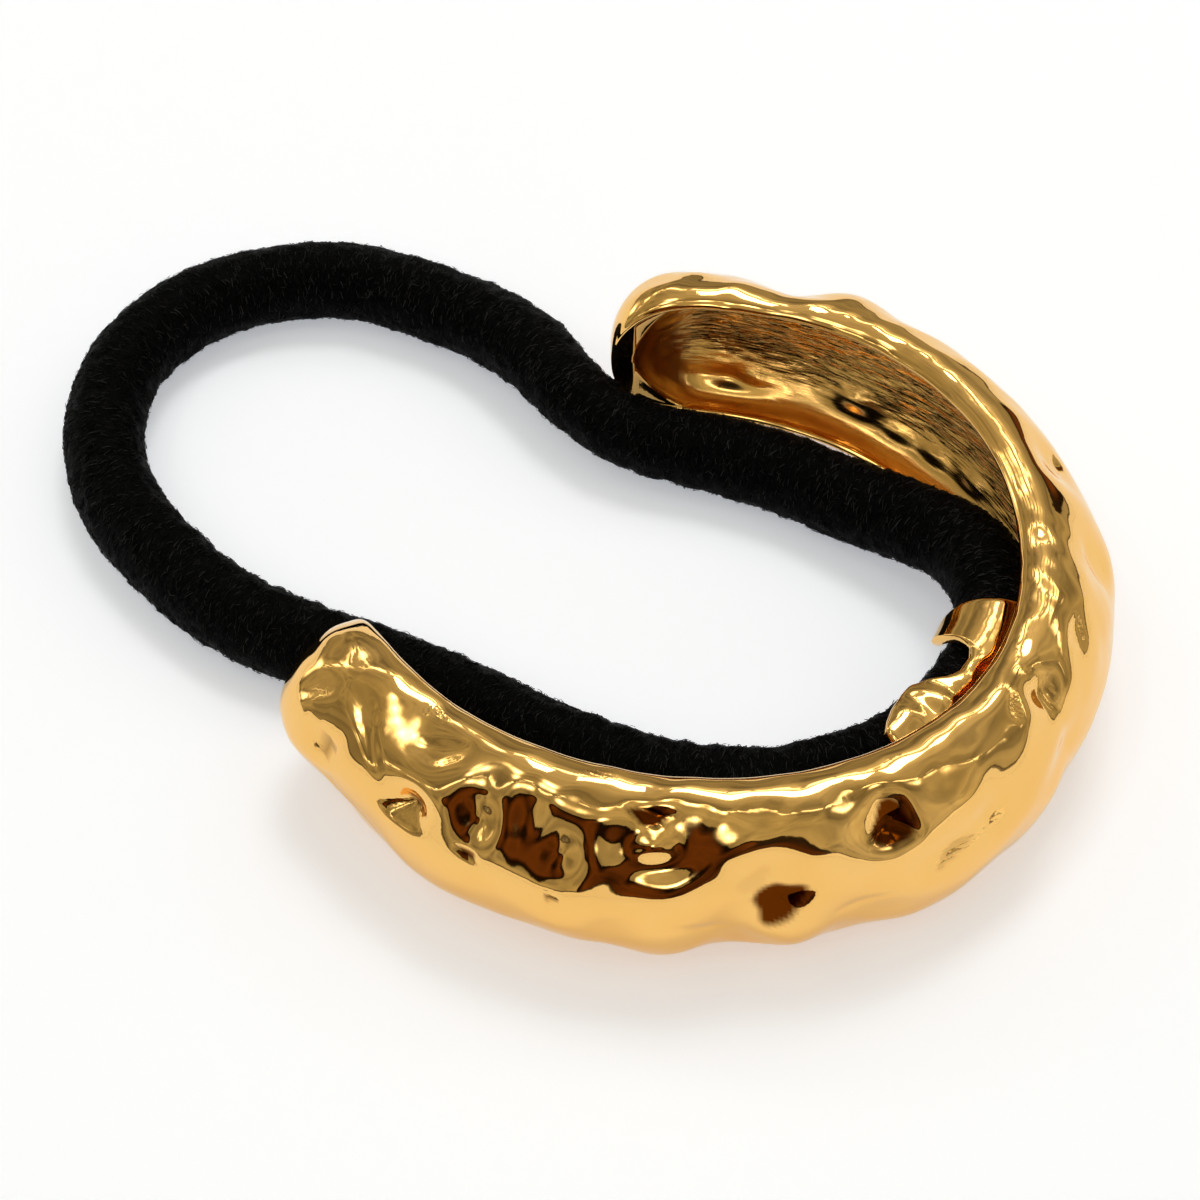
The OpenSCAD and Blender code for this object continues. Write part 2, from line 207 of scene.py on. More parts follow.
# angle along, angle round, reach along and reach round in half band heights, depth share
relief = [
    [-64, -28, 0.38, 0.46, -0.46], [-46, -15, 0.30, 0.46, -0.44], [-74, -18, 0.38, 0.46, -0.40],
    [-55, -8, 0.32, 0.62, 1.00], [-41, -4, 0.38, 0.60, 0.80], [-69.5, -8, 0.24, 0.46, 0.42],
    [-100, 66, 0.38, 0.32, 0.60], [-98, 27, 0.18, 0.16, 0.65], [-112, 24, 0.16, 0.16, 0.35],
    [-88, 39, 0.18, 0.34, 0.65], [-82, 43, 0.18, 0.34, 0.60], [-77, 36, 0.18, 0.34, 0.55],
    [-65, 44, 0.50, 0.40, 1.00], [-65, 47, 0.18, 0.16, -0.45], [-49, 27, 0.32, 0.38, 0.85],
    [-34, 48, 0.24, 0.24, 0.60], [-26, 18, 0.32, 0.18, 0.45], [-18, 24, 0.20, 0.18, 0.40],
    [-1, 51, 0.20, 0.34, 0.50], [0, 12, 0.32, 0.20, 0.40], [28, 36, 0.28, 0.38, 0.55],
    [46, 51, 0.28, 0.28, 0.55], [62, 12, 0.40, 0.34, 0.60], [81, 24, 0.28, 0.34, 0.45],
    [91, 45, 0.34, 0.38, -0.50], [98, 10, 0.44, 0.40, 0.45], [99, 50, 0.40, 0.44, 0.90],
    [-104, -8, 0.46, 0.46, 0.35], [-10, -15, 0.46, 0.46, -0.25], [112, 46, 0.30, 0.44, 0.25],
    [-121, 12, 0.50, 0.60, -0.35], [-92, -20, 0.55, 0.50, -0.44], [-26, -27, 0.50, 0.44, -0.35],
    [14, -38, 0.34, 0.40, 0.55], [44, -22, 0.38, 0.38, 0.50], [84, -30, 0.40, 0.34, 0.55],
    [-113, -24, 0.36, 0.46, 0.55], [31, 6, 0.46, 0.40, -0.40], [11, -2, 0.36, 0.40, -0.15]]


def bumps(table, t, p, round_radius):
    """The sum of a table's dents at angles t along and p round."""
    total = np.zeros((len(t), p.shape[-1]))
    for at, turned, reach_along, reach_round, depth in table:
        a = (t - at) * per_degree / (reach_along * reach)
        r = np.radians(p - turned) * round_radius / (reach_round * reach)
        total += depth * np.exp(-a[:, None] ** 2 - r ** 2)
    return total


def waves(t, p, lengths, count, seed):
    """Long soft waves over the casting: a sum of sines with random ways and phases."""
    rng = np.random.default_rng(seed)
    along = (t * per_degree)[:, None]
    round_section = np.radians(p) * band_h / 2
    total = np.zeros(np.broadcast_shapes(along.shape, round_section.shape))
    for _ in range(count):
        turn = rng.uniform(0, math.pi)
        rate = math.tau / rng.uniform(*lengths)
        phase = rng.uniform(0, math.tau)
        total += np.sin(rate * (along * math.cos(turn) + round_section * math.sin(turn)) + phase)
    return total / math.sqrt(count)


print("relief: %d dents and lumps" % len(relief))

# %% [markdown]
# Towards the tips the casting shrinks like the end of a spoon, and its hollow ends in a round of
# its own. A grid of rings is the plainest mesh for such a form. The rings are worked out close
# together at the tips and at the ends of the hollow, where the form turns fast, on the front,
# which shows most, and further apart behind.

# %% Rings of the casting
def blend(front, middle, tip, x):
    """A smooth curve through three sizes, as x goes from 0 at the front to 1 at the tip."""
    return front * (1 - x) * (1 - 2 * x) + 4 * middle * x * (1 - x) + tip * x * (2 * x - 1)


def eased(length, count):
    """Distances from a round end, close together where the form turns fast."""
    return length * (1 - np.cos(np.linspace(0, math.pi / 2, count)))


tip_rings = 24
hollow_rings = 14
shown_rings = 320
back_rings = 80
turned_away = 66
past_solid = 0.01 * mm
least_step = 0.02 * mm


def tip_steps(solid):
    """Angles left to a tip, for its own round end and for the round end of the hollow."""
    left = [eased(tip_round, tip_rings), solid + past_solid + eased(hollow_round, hollow_rings)]
    left = np.sort(np.concatenate(left))
    return left[np.insert(np.diff(left) > least_step, 0, True)] / per_degree


near_steps = tip_steps(near_solid)
far_steps = tip_steps(far_solid)
t = np.concatenate([near_steps - near_angle,
                    np.linspace(near_steps[-1] - near_angle, turned_away, shown_rings)[1:],
                    np.linspace(turned_away, far_angle - far_steps[-1], back_rings)[1:-1],
                    far_angle - far_steps[::-1]])
tip = np.where(t < 0, near_angle, far_angle)
share = np.abs(t) / tip
left = (tip - np.abs(t)) * per_degree

blunt = 2.4
closed = (1 - np.clip(1 - left / tip_round, 0, 1) ** blunt) ** (1 / blunt)
solid = np.where(t < 0, near_solid, far_solid)
opened = np.sqrt(1 - np.clip(1 - (left - solid) / hollow_round, 0, 1) ** 2)
half_h = blend(band_h, band_h, tip_h, share) / 2 * closed
bulge = (blend(front_bulge, limb_bulge, limb_bulge, share) - bow(t)) * closed
turned_in = tip_turn * np.clip((share - turn_from) / (1 - turn_from), 0, None) ** 2
lip = np.minimum(wall, half_h / 2)
print("casting: %d rings from %.0f to %.0f degrees" % (len(t), t[0], t[-1]))

# %% [markdown]
# The section is half an ellipse outside, a rounded lip below and above, and a smaller half
# ellipse inside, because the casting is hollow behind. The relief is pressed in square to this
# surface, so a dent keeps its round outline on the turned sides too. The crown comes down a
# little at the rims, as metal does that pulls back while it sets.

# %% Section of the casting
def column(values):
    """One value for each ring, ready to be spread round it."""
    return values[:, None]


rim_drop = 0.42 * mm
rim_reach = 1.9 * mm


def drop(out):
    """How far the crown has come down at a distance outside the mouth line."""
    return rim_drop * np.clip(1 - out / rim_reach, 0, None) ** 2 * column(closed)


def section(b, h, p, dent, out_shift=0, dropped=0):
    """Half an ellipse at every ring, with the relief pressed in square to its surface."""
    c, s = np.cos(np.radians(p)), np.sin(np.radians(p))
    b, h = column(b), column(h)
    size = np.maximum(np.hypot(h * c, b * s), 1e-9)
    out = b * c + dent * h * c / size
    z = mid_z + h * s + dent * b * s / size - dropped * np.sign(s) * drop(b * c)
    return place(t, out - column(turned_in) + out_shift, z)


outer_points = 90
inner_points = 80
p_out = np.linspace(90, -90, outer_points)[None, :]
p_in = np.linspace(-90, 90, inner_points)[None, :]
full_h = blend(band_h, band_h, tip_h, share) / 2
wave_depth = 0.05 * mm
wave_length = (2.6 * mm, 6 * mm)
ripple_depth = 0.016 * mm
ripple_length = (1.3 * mm, 2.6 * mm)
# the ripples keep this share on the crown, and one stretch of the hoop is calmer than the rest
crown_ripples = 0.3
calm_at = 44
calm_reach = 20
calm_share = 0.65


def relief_at(p):
    """The dents, long waves and short ripples at every ring and at these angles round."""
    dents = relief_depth * bumps(relief, t, p, column(full_h))
    near_rims = crown_ripples + (1 - crown_ripples) * np.sin(np.radians(p)) ** 2
    ripples = ripple_depth * waves(t, p, ripple_length, count=16, seed=9) * near_rims
    swells = wave_depth * waves(t, p, wave_length, count=14, seed=5)
    calm = column(1 - calm_share * np.exp(-((t - calm_at) / calm_reach) ** 2))
    return -column(closed) * (dents + calm * (swells + ripples))


print("section: %d points outside, %d inside" % (outer_points, inner_points))

# %% [markdown]
# Gas and dirt in the mould leave small pits, which have what the soft dents lack: steep sides, a
# flat floor and a ragged outline. They are cut into the mesh as well, because a pit's dark side
# and bright rim move with the light, which painted ones don't. What no polishing wheel reaches
# stays rough, so each pit also says how rough its floor is, and how far a painted reflection, the
# dark brown of the openings round the camera, covers it.

# %% Small pits
# angle along, angle round, length and width in mm, turn of the length, depth in mm, roughness, share of
# painted dark reflection
pits = [
    [-112, 24, 1.6, 1.0, 70, 0.22, 0.8, 0.5], [-113, 16, 4.6, 0.5, -55, 0.10, 0, 0],
    [-98, 24, 2.6, 1.9, 40, 0.42, 0.4, 0], [-97, 29, 1.6, 0.5, -20, 0.16, 0, 0.85],
    [-77, 9, 0.7, 0.4, 0, 0.10, 0.6, 0.8], [-88, 18, 1.1, 0.5, -20, 0.16, 0, 0.9],
    [-49, 9, 3.6, 2.4, 75, 0.42, 0.1, 1.0], [-52, 27, 2.6, 1.3, 60, 0.22, 0.8, 0.1],
    [-33, 46, 3.6, 2.2, 85, 0.28, 0, 1.0], [-66, 66, 1.9, 1.2, 0, 0.14, 0, 1.0],
    [-25, 13, 2.4, 1.0, 25, 0.10, 0.8, 0.25], [-18, 22, 2.2, 1.5, 60, 0.06, 0.6, 0],
    [47, 42, 1.2, 1.0, 0, 0.22, 0.1, 0], [29, 32, 3.4, 1.6, 70, 0.16, 0.5, 0],
    [0, 49, 3.4, 1.3, 80, 0.16, 0.3, 0], [-7, 63, 1.6, 0.6, 50, 0.10, 0.2, 0],
    [-101, 80, 1.2, 0.6, 0, 0.07, 0.9, 0], [-74, 84, 1.6, 0.5, 10, 0.08, 0.4, 0.4],
    [12, 51, 2.0, 1.3, 40, 0.14, 0.2, 0], [-118, 47, 3.8, 1.2, 60, 0.15, 0, 0],
    [-108, 52, 4.6, 1.1, -42, 0.15, 0, 0], [-97, 64, 3.4, 1.4, 30, 0.12, 0, 0],
    [-60, -4, 3.2, 0.7, -30, 0.10, 0.1, 0], [-105, -6, 3.8, 0.5, -20, 0.08, 0, 0],
    [-38, -2, 2.8, 0.6, 25, 0.08, 0.1, 0]]
ragged_by_three = 0.30
ragged_by_five = 0.12


def pitted(t, p, round_radius):
    """Depth, roughness and painted dark reflection of the small ragged pits with steep sides and a flat
    floor.
    """
    depth = np.zeros((len(t), p.shape[-1]))
    rough = np.zeros_like(depth)
    stain = np.zeros_like(depth)
    for at, turned, length, width, turn, deep, uneven, dark in pits:
        a = ((t - at) * per_degree)[:, None]
        r = np.radians(p - turned) * round_radius
        c, s = math.cos(math.radians(turn)), math.sin(math.radians(turn))
        u = (a * c + r * s) / (length / 2 * mm)
        v = (r * c - a * s) / (width / 2 * mm)
        # the pit's own place is the phase, so each outline is ragged in its own way
        way_round = np.arctan2(v, u)
        ragged = (1 + ragged_by_three * np.sin(3 * way_round + at)
                  + ragged_by_five * np.sin(5 * way_round + turned))
        inside = np.exp(-((u ** 2 + v ** 2) * ragged) ** 2)
        depth += deep * mm * inside
        rough = np.maximum(rough, uneven * inside)
        # the painted dark reflection has a sharp edge: none where inside is under 1/3, all of it from 2/3
        stain = np.maximum(stain, dark * np.clip(3 * inside - 1, 0, 1))
    return depth * column(closed), rough, stain


# the third result is the share of painted dark reflection in the pits
pit_depth, roughness, painted_reflection_shares = pitted(t, p_out, column(full_h))
outer = section(bulge, half_h, p_out, relief_at(p_out) - pit_depth, dropped=1)
print("pits: %d, the deepest %.2f mm" % (len(pits), pit_depth.max() / mm))

# %% [markdown]
# The back of the casting was carved in wax with a brush, so fine ridges run along the hollow.
# Its lower side and its far end were left smooth, with a few lumps where the wax was patched. All
# are real relief here, because the hollow lights itself: each ridge mirrors its neighbours, and
# the gold turns amber.

# %% Hollow of the casting
ridge_depth = 0.065 * mm
ridge_length = (0.65 * mm, 1.6 * mm)
# columns as in the relief's table
lumps = [
    [108, -64, 0.36, 0.20, -1.30], [104, -58, 0.12, 0.10, 0.40], [87, -50, 0.24, 0.20, -0.80],
    [79, -58, 0.16, 0.14, -0.45], [72, -56, 0.20, 0.16, -0.50], [64, -52, 0.18, 0.16, -0.45],
    [-108, -24, 0.55, 0.42, -0.45], [-84, -36, 0.42, 0.36, -0.45], [-60, -30, 0.50, 0.34, -0.45]]
# the ridges fade between these angles round and along, to these shares, and over the lumps
smooth_below = (-62, -44)
smooth_beyond = (112, 120)
share_below = 0.15
share_beyond = 0.2
lump_smooths = 1.7
ridge_waves = 16
ridge_sway = (0.10 * mm, 0.30 * mm)
sway_length = (3 * mm, 9 * mm)
stroke_length = (2.5 * mm, 7 * mm)


def ridges(p, seed):
    """Ridges along the hollow that sway up and down and come and go, like brush strokes."""
    rng = np.random.default_rng(seed)
    along = column(t * per_degree)
    total = 0
    for _ in range(ridge_waves):
        rate = math.tau / rng.uniform(*ridge_length)
        depth = rng.uniform(*ridge_sway)
        sway = depth * np.sin(math.tau * along / rng.uniform(*sway_length) + rng.uniform(0, math.tau))
        stroke = np.sin(math.tau * along / rng.uniform(*stroke_length) + rng.uniform(0, math.tau))
        phase = rng.uniform(0, 6)
        total = total + stroke * np.sin(rate * (np.radians(p) * band_h / 2 + sway) + phase)
    return total / math.sqrt(ridge_waves / 2)


patched = bumps(lumps, t, p_in, column(full_h))
brushed = (np.clip(1 + lump_smooths * patched, 0, 1) * np.interp(p_in, smooth_below, [share_below, 1])
           * column(np.interp(t, smooth_beyond, [1, share_beyond])))


def inside_relief(p):
    """The hollow's own lumps and ridges, with the dents of the outside showing through."""
    own = relief_depth * patched - ridge_depth * brushed * ridges(p, seed=11)
    return column(opened) * np.cos(np.radians(p)) * (relief_inside * relief_at(p) + own)


hollow_b = np.maximum(bulge - wall, 0) * opened
hollow_h = np.maximum(half_h - rim, 0) * opened
# how far the rim stands out, as a share of the lip, and the rounded entry to the hollow
lip_out = 0.42
entry_round = 0.55 * mm
entry = entry_round * opened
floor_out = column(entry - lip * lip_out * (1 - opened))
inner = section(hollow_b - entry, hollow_h, p_in, inside_relief(p_in), floor_out)
print("hollow: %d lumps, %.1f mm deep at most" % (len(lumps), hollow_b.max() / mm))

# %% [markdown]
# Between the crown and the hollow runs the rim, which is what a hand feels first. It is cast
# round, turns over a flat face and then into the hollow in a quarter round. These strips of
# points join the outside and the inside into one closed ring, so the casting is one shell without
# a seam.

# %% Rims and the whole shell
lip_points = 8


def lip_ring(side):
    """The rounded rim from the outer surface to the mouth of the hollow; side is 1 on top."""
    a = np.linspace(0, math.pi, lip_points + 2)[None, 1:-1]
    back = np.where(a > math.pi / 2, column(opened), 1)
    out = -column(lip) * (lip_out - (lip_out - lip_out * np.sin(a)) * back)
    down = column(lip) / 2 * (1 - np.cos(a))
    fade = (1 + np.cos(a)) / 2
    lowered = (relief_at(np.array([[90.0 * side]])) - drop(out)) * fade
    return place(t, out - column(turned_in), mid_z + side * (column(half_h) - down + lowered))


quarter_round = [12, 30, 50, 66, 80]


def mouth_face(start, end):
    """The face between the rim and the hollow, which turns into the hollow in a quarter round."""
    a = np.array(quarter_round)[None, :, None]
    x, back = np.sin(np.radians(a)), 1 - np.cos(np.radians(a))
    height = np.array([0, 0, 1])
    return start + (end - start) * (x * height + back * (1 - height))


low_lip = lip_ring(-1)
top_lip = lip_ring(1)[:, ::-1]
low_face = mouth_face(low_lip[:, -1:], inner[:, :1])
top_face = mouth_face(inner[:, -1:], top_lip[:, :1])
rings = np.concatenate([outer, low_lip, low_face, inner, top_face, top_lip], axis=1)
kept = np.zeros(rings.shape[:2])
surface = {"along": kept + column(t * per_degree / mm), "round": kept.copy(), "rough": kept.copy(),
           "brushed": kept.copy(), "stain": kept.copy(), "satin": kept.copy()}
first_inner = outer_points + low_lip.shape[1] + low_face.shape[1]
hollow = slice(first_inner, first_inner + inner_points)
surface["rough"][:, :outer_points] = roughness
# the pits' painted dark reflection, as a share at every point
surface["stain"][:, :outer_points] = painted_reflection_shares
surface["round"][:, hollow] = np.radians(p_in) * band_h / 2 / mm
surface["brushed"][:, hollow] = column(opened) * brushed
satin_beyond = 2
surface["satin"][:, hollow] = column(opened * np.interp(t, smooth_beyond, [1, satin_beyond]))
print("shell: %d rings of %d points" % rings.shape[:2])

# %% [markdown]
# A grid of points becomes a mesh through its quads alone. The mesh also carries the attributes
# that say where the metal is rough or satin and where a dark reflection is painted on it, so the
# shader needs no picture.

# %% Mesh helpers
def grid_faces(rows, columns):
    """The quads of a grid in which every row closes into a ring."""
    i = np.arange(rows - 1)[:, None]
    j = np.arange(columns)[None, :]
    i2, j2 = i + 1, (j + 1) % columns
    corners = [i * columns + j, i2 * columns + j, i2 * columns + j2, i * columns + j2]
    return np.stack(np.broadcast_arrays(*corners), -1).reshape(-1, 4)


weld_under = 0.001 * mm


def mesh_piece(name, points, faces, attributes):
    """A smooth piece from points and faces, with its doubles welded and its normals outward."""
    mesh = bpy.data.meshes.new(name)
    mesh.from_pydata(points.reshape(-1, 3).tolist(), [], faces.tolist())
    for label, values in attributes.items():
        mesh.attributes.new(label, "FLOAT", "POINT").data.foreach_set("value", values.ravel())
    work = bmesh.new()
    work.from_mesh(mesh)
    bmesh.ops.remove_doubles(work, verts=work.verts, dist=weld_under)
    bmesh.ops.recalc_face_normals(work, faces=work.faces)
    work.to_mesh(mesh)
    work.free()
    mesh.shade_smooth()
    piece = bpy.data.objects.new(name, mesh)
    bpy.context.scene.collection.objects.link(piece)
    return piece


shell = mesh_piece("shell", rings, grid_faces(len(t), rings.shape[1]), surface)
print("shell: %d faces" % len(shell.data.polygons))

# %% [markdown]
# The keeper is a strap of the same metal. It leaves the back wall, passes over the elastic and
# folds down in front of it. Its edge is ragged, so one table says how far round the elastic each
# part of the edge reaches, and another where it begins. A cut and bent sheet would need its
# thickness added after; here both sides are worked out from one middle line.

# %% Keeper
strap_t = 0.8 * mm
strap_play = 0.25 * mm
strap_r = elastic_r * pinch + strap_play + strap_t / 2
wrap_end = np.array([
    [-23, 80], [-21, 92], [-18, 104], [-13, 116], [-9, 120], [-6, 112], [-3, 97], [0, 90],
    [4, 91], [7, 98], [9, 116], [11, 150], [12.5, 168], [17, 170], [19, 156], [21, 120]])
root_start = np.array([[-23, 1.05], [-20, 0.7], [-15, 0], [14, 0], [18, 0.5], [21, 1]])
# v is 0 at the root and 1 at the shoulder, and then counts the way round the elastic
shoulder = 50
deg_per_v = 100
root_drop = 0.46
root_bend = (0.42, 0.72)
strap_rings = 80
strap_points = 40
keeper_t = np.linspace(-23, 21, strap_rings)


def strap_line(t, v):
    """The middle of the strap, out and up from the elastic's own middle line."""
    share = np.abs(t) / np.where(t < 0, near_angle, far_angle)
    b = blend(front_bulge, limb_bulge, limb_bulge, share) - bow(t)
    s = math.radians(shoulder)
    shoulder_at = strap_r * np.array([math.cos(s), math.sin(s)])
    root = np.stack([b - wall / 2 - held_out(t),
                     np.full_like(t, shoulder_at[1] - strap_r * root_drop)], -1)[:, None, :]
    knee = shoulder_at + np.array([root_bend[0], 0]) * (root - shoulder_at)
    knee = knee - np.array([0, root_bend[1] * strap_r * root_drop])
    u = v[..., None]
    below = shoulder_at * u ** 2 + 2 * knee * u * (1 - u) + root * (1 - u) ** 2
    a = np.radians(shoulder + (u - 1) * deg_per_v)
    above = strap_r * np.concatenate([np.cos(a), np.sin(a)], -1)
    return np.where(u < 1, below, above)


v_from = column(np.interp(keeper_t, root_start[:, 0], root_start[:, 1]))
v_to = column(1 + (np.interp(keeper_t, wrap_end[:, 0], wrap_end[:, 1]) - shoulder) / deg_per_v)
along_strap = (1 - np.cos(np.linspace(0, math.pi, strap_points)))[None, :] / 2
v = v_from + (v_to - v_from) * along_strap
v_step = 0.01
line = strap_line(keeper_t, v)
run = strap_line(keeper_t, v + v_step) - strap_line(keeper_t, v - v_step)
side = np.stack([run[..., 1], -run[..., 0]], -1) / np.linalg.norm(run, axis=-1, keepdims=True)


def rounded(distance):
    """Share of the thickness near an edge, so that every edge of the strap is round."""
    return np.sqrt(1 - np.clip(1 - distance / (strap_t / 2), 0, 1) ** 2)


v_size = strap_r * math.radians(deg_per_v)
to_edge = np.minimum(v - v_from, v_to - v) * v_size
to_end = column(np.minimum(keeper_t - keeper_t[0], keeper_t[-1] - keeper_t) * per_degree)
half_t = strap_t / 2 * rounded(to_edge) * rounded(to_end)
# the tab at the far end is smooth, the wing is creased like foil
wing_crease = 0.10 * mm
tab_crease = 0.010 * mm
crease_length = (1.6 * mm, 4 * mm)
creased = np.interp(keeper_t, [2, 10], [wing_crease, tab_crease])
v_turned = np.degrees(v * v_size / (band_h / 2))
hammered = column(creased) * waves(keeper_t, v_turned, crease_length, count=9, seed=3)


def strap_side(sign):
    """One face of the strap; sign is 1 for the face away from the elastic."""
    q = line + side * (sign * half_t + hammered * rounded(to_edge) * rounded(to_end))[..., None]
    flat = mouth(keeper_t)[:, None, :] + outward(keeper_t)[:, None, :] * (
        column(held_out(keeper_t)) + q[..., 0])[..., None]
    return np.concatenate([flat, mid_z + q[..., 1:]], -1)


strap = np.concatenate([strap_side(1), strap_side(-1)[:, ::-1]], axis=1)
keeper = mesh_piece("keeper", strap, grid_faces(*strap.shape[:2]), {})
print("keeper: %d faces" % len(keeper.data.polygons))

# %% [markdown]
# Patterns are sums of simple maths on coordinates. They could be drawn as nodes by hand, but
# code keeps them readable: this small class wraps one socket of a node tree, so that such maths
# reads as Python, and its one method makes any other node.

# %% Node maths
class Wire:
    """One socket of a node tree. Adding or multiplying wires adds the nodes that do it."""

    def __init__(self, tree, socket=None):
        self.tree = tree
        self.socket = socket

    def make(self, kind, settings=None, inputs=None, out=0):
        """A new node: its settings are set first, then its inputs, and one output comes back."""
        node = self.tree.nodes.new(kind)
        for name, value in (settings or {}).items():
            if name == "stops":
                ramp = node.color_ramp.elements
                while len(ramp) < len(value):
                    ramp.new(0.5)
                for stop, (position, colour) in zip(ramp, value):
                    stop.position = position
                    stop.color = colour
            else:
                setattr(node, name, value)
        for name, value in (inputs or {}).items():
            socket = node.inputs[name]
            if isinstance(value, Wire):
                self.tree.links.new(value.socket, socket)
            else:
                socket.default_value = value
        return Wire(self.tree, node.outputs[out])

    def maths(self, operation, a, b):
        """A Math node; an operation on one number takes 0 as its second."""
        return self.make("ShaderNodeMath", {"operation": operation}, {0: a, 1: b})

    def __add__(self, other):
        return self.maths("ADD", self, other)

    def __radd__(self, other):
        return self.maths("ADD", other, self)

    def __sub__(self, other):
        return self.maths("SUBTRACT", self, other)

    def __rsub__(self, other):
        return self.maths("SUBTRACT", other, self)

    def __mul__(self, other):
        return self.maths("MULTIPLY", self, other)


def new_material(name):
    """A material with one Principled shader, and a wire to build its patterns from."""
    material = bpy.data.materials.new(name)
    material.use_nodes = True
    return material, material.node_tree.nodes["Principled BSDF"], Wire(material.node_tree)


def feed(tree, wire, socket):
    """Joins a wire to a socket that is already in the tree."""
    tree.links.new(wire.socket, socket)


def attribute(wire, name):
    """One of the numbers that the mesh carries at every point."""
    return wire.make("ShaderNodeAttribute", {"attribute_name": name}, out="Fac")


# %% [markdown]
# Polished gold plate has no colour of its own beyond the tint that it gives to what it mirrors,
# so the shader is all metal and nearly smooth. The attributes say where it isn't: the floors of
# the small pits are rough from the casting, some carry a painted dark brown reflection, and the
# hollow, which no polishing wheel reaches, is satin and keeps the grain of the wax brush.

# %% Gold
gold, shader, wire = new_material("gold_plate")
shader.inputs["Metallic"].default_value = 1
place_on = wire.make("ShaderNodeTexCoord", out="Object")
polish = wire.make("ShaderNodeTexNoise", {}, {"Vector": place_on, "Scale": 260, "Detail": 3})
ripple = wire.make("ShaderNodeTexNoise", {}, {"Vector": place_on, "Scale": 700, "Detail": 2})
grit = wire.make("ShaderNodeTexNoise", {}, {"Vector": place_on, "Scale": 620, "Detail": 3})
grain_along = 0.45
grain_round = 4.5
brushed_on = wire.make("ShaderNodeCombineXYZ", {}, {
    0: attribute(wire, "along") * grain_along, 1: attribute(wire, "round") * grain_round})
grain = wire.make("ShaderNodeTexNoise", {}, {
    "Vector": brushed_on, "Scale": 1.0, "Detail": 3, "Distortion": 0.5})
deep = (0.95, 0.54, 0.145, 1)
pale = (1.0, 0.615, 0.21, 1)
# painted dark reflection: the brown of the openings round the camera, painted into the pits
painted_reflection_brown = (0.12, 0.025, 0.0006, 1)
tint = wire.make("ShaderNodeMix", {"data_type": "RGBA"}, {"Factor": polish, "A": deep, "B": pale}, out=2)
tint_and_painted_reflection = wire.make("ShaderNodeMix", {"data_type": "RGBA"}, {
    "Factor": attribute(wire, "stain"), "A": tint, "B": painted_reflection_brown}, out=2)
feed(gold.node_tree, tint_and_painted_reflection, shader.inputs["Base Color"])
polished = 0.03
haze = 0.03
satin_haze = 0.12
feed(gold.node_tree, polished + polish * haze + attribute(wire, "satin") * satin_haze,
     shader.inputs["Roughness"])
# heights in mm
ripple_height = 0.010
grit_height = 0.16
grain_height = 0.06
grit = grit * attribute(wire, "rough")
grain = grain * attribute(wire, "brushed")
height = ripple * ripple_height + grit * grit_height + grain * grain_height
bump = wire.make("ShaderNodeBump", {}, {"Height": height, "Distance": 1 * mm, "Strength": 1.0})
feed(gold.node_tree, bump, shader.inputs["Normal"])

for piece in (shell, keeper):
    piece.data.materials.append(gold)
print("gold: %d nodes" % len(gold.node_tree.nodes))

# %% [markdown]
# The elastic's cover is soft black yarn, wound so tight that only its fibres show. The yarn's
# relief is bump, stretched round the section, because each strand is thinner than a hair, and the
# strands' tops are painted a lighter grey as painted light. The fibres that stand off it are real,
# because they make the outline. Most are black, and a few are painted pale grey as painted glints.

# %% Black yarn
yarn, shader, wire = new_material("covered_elastic")
shader.inputs["Roughness"].default_value = 0.5
shader.inputs["Specular IOR Level"].default_value = 0.03
lengthwise = attribute(wire, "lengthwise")
ring_place = wire.make("ShaderNodeAttribute", {"attribute_name": "ring_place"}, out="Vector")
ring_x, ring_y = (wire.make("ShaderNodeSeparateXYZ", {}, {0: ring_place}, out=k) for k in range(2))
fibre_gap = 0.24 * mm
fibre_run = 0.60 * mm
wound = wire.make("ShaderNodeCombineXYZ", {}, {
    0: lengthwise * (1 / fibre_gap), 1: ring_x * (1 / fibre_run), 2: ring_y * (1 / fibre_run)})
strands = wire.make("ShaderNodeTexNoise", {}, {
    "Vector": wound, "Scale": 1.0, "Detail": 2, "Distortion": 0.8})
# a strand lies where the noise is near its middle value, and the rest is flat
strand_steep = 13.0
ridge = 1.0 - wire.maths("ABSOLUTE", strands - 0.5, 0.0) * strand_steep
ridge = wire.maths("MAXIMUM", ridge, 0.0)
# painted light: the tops of the strands are painted lighter than the gaps between them
painted_ridge_light = 0.10
# painted glints: a few fibres, at random, are painted pale grey
few_glinting = 1.8
paleness = wire.maths("POWER", attribute(wire, "paleness"), few_glinting)
black = (0.0005, 0.0005, 0.0006, 1)
painted_glint_grey = (0.045, 0.045, 0.046, 1)
tint = wire.make("ShaderNodeMix", {"data_type": "RGBA"}, {
    "Factor": wire.maths("MAXIMUM", ridge * painted_ridge_light, paleness), "A": black, "B": painted_glint_grey}, out=2)
feed(yarn.node_tree, tint, shader.inputs["Base Color"])
bump = wire.make("ShaderNodeBump", {}, {"Height": ridge, "Distance": 0.06 * mm, "Strength": 1.0})
feed(yarn.node_tree, bump, shader.inputs["Normal"])
print("yarn: %d nodes" % len(yarn.node_tree.nodes))

# %% [markdown]
# The covered elastic follows a path, which is work for Geometry Nodes. The first tree sweeps a
# circle along the path and stores where each point is, along and round, for the yarn's pattern.
# The second scatters fibres over the swept surface: each is a thin bent thread that lies round
# the elastic, a little askew. It runs three times, for two layers of nap and one of loose fuzz,
# which leans every way and lifts its ends off the rest.

